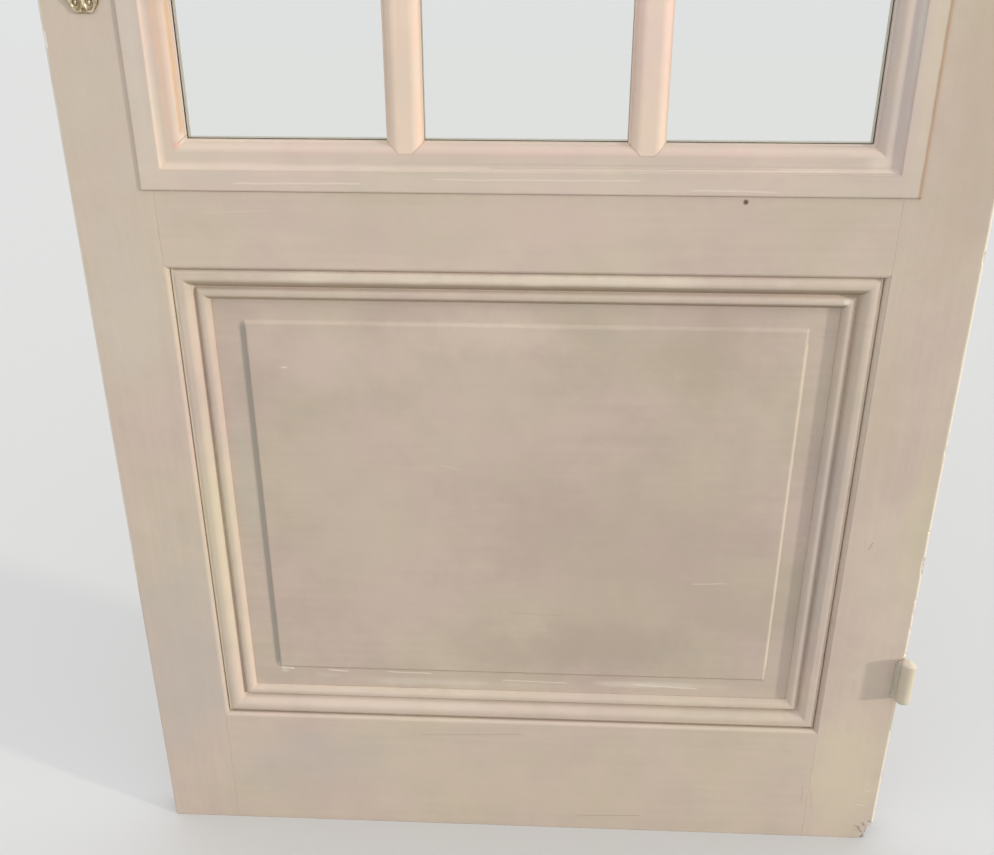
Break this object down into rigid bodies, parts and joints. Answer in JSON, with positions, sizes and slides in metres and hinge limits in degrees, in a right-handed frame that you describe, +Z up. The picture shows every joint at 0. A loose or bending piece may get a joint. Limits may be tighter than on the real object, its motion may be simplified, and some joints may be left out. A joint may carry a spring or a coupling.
{
  "type": "glazed interior door leaf",
  "caption": "Painted wooden door leaf: small panes in a moulded glazing frame over a fielded panel, with lift-off hinge halves, mortise lock and brass levers.",
  "frame": {"origin": "mouth of the lower hinge's bore, on the hinge pin's axis, beside the hanging edge and in front of the front face", "axes": "+X to the right seen from the front, from the closing edge to the hanging edge, +Y from the front to the back, +Z up along the hinge axis"},
  "size_m": [0.8515, 0.15, 2.04],
  "materials": {
    "painted_wood": "old beige oil paint, worn at the edges",
    "clear_glass": "clear, slightly dusty",
    "painted_iron": "painted over with the door",
    "old_brass": "worn cast brass",
    "lock_steel": "dull steel",
    "lock_brass": "dull"
  },
  "bodies": {
    "leaf": {"closing_stile": "painted_wood", "hanging_stile": "painted_wood", "top_rail": "painted_wood", "middle_rail": "painted_wood", "bottom_rail": "painted_wood", "lower_panel": "painted_wood", "panel_moulding_front_left": "painted_wood", "panel_moulding_front_top": "painted_wood", "panel_moulding_front_right": "painted_wood", "panel_moulding_front_bottom": "painted_wood", "panel_moulding_back_left": "painted_wood", "panel_moulding_back_top": "painted_wood", "panel_moulding_back_right": "painted_wood", "panel_moulding_back_bottom": "painted_wood", "glazing_frame_left": "painted_wood", "glazing_frame_top": "painted_wood", "glazing_frame_right": "painted_wood", "glazing_frame_bottom": "painted_wood", "glazing_bar_left": "painted_wood", "glazing_bar_right": "painted_wood", "cross_bar_lower": "painted_wood", "cross_bar_middle": "painted_wood", "cross_bar_upper": "painted_wood", "glazing_beads_bottom_row": "painted_wood", "glazing_beads_lower_row": "painted_wood", "glazing_beads_upper_row": "painted_wood", "glazing_beads_top_row": "painted_wood", "pane_bottom_left": "clear_glass", "pane_bottom_middle": "clear_glass", "pane_bottom_right": "clear_glass", "pane_lower_left": "clear_glass", "pane_lower_middle": "clear_glass", "pane_lower_right": "clear_glass", "pane_upper_left": "clear_glass", "pane_upper_middle": "clear_glass", "pane_upper_right": "clear_glass", "pane_top_left": "clear_glass", "pane_top_middle": "clear_glass", "pane_top_right": "clear_glass", "hinge_lower": "painted_iron", "hinge_middle": "painted_iron", "hinge_upper": "painted_iron", "hinge_screws": "painted_iron", "backplate_front": "old_brass", "backplate_back": "old_brass", "plate_screws": "old_brass", "lock_case": "lock_steel", "lock_cover": "lock_steel", "lock_faceplate": "lock_steel", "lock_screws": "lock_steel", "latch_spring": "lock_steel"},
    "handle": {"lever_front": "old_brass", "lever_back": "old_brass", "lever_pins": "lock_steel", "spindle": "lock_steel", "follower": "lock_brass"},
    "latch": {"latch_bolt": "lock_brass"},
    "bolt": {"dead_bolt": "lock_brass", "bolt_spring": "lock_steel"}
  },
  "joints": [
    {"name": "handle_turn", "type": "hinge", "parent": "leaf", "child": "handle", "pos_m": [-0.792, 0.026, 0.838], "axis": [0, 1, 0], "range_deg": [0, 40], "stiffness_Nm_per_rad": 1.4, "springref_deg": -34.38, "deforming": ["latch_spring"]},
    {"name": "latch_slide", "type": "slide", "parent": "leaf", "child": "latch", "axis": [1, 0, 0], "range_m": [0, 0.012]},
    {"name": "dead_bolt_slide", "type": "slide", "parent": "leaf", "child": "bolt", "axis": [-1, 0, 0], "range_m": [0, 0.014]}
  ],
  "couplings": [
    {"joint": "latch_slide", "follows": "handle_turn", "m_per_rad": 0.01715}
  ]
}
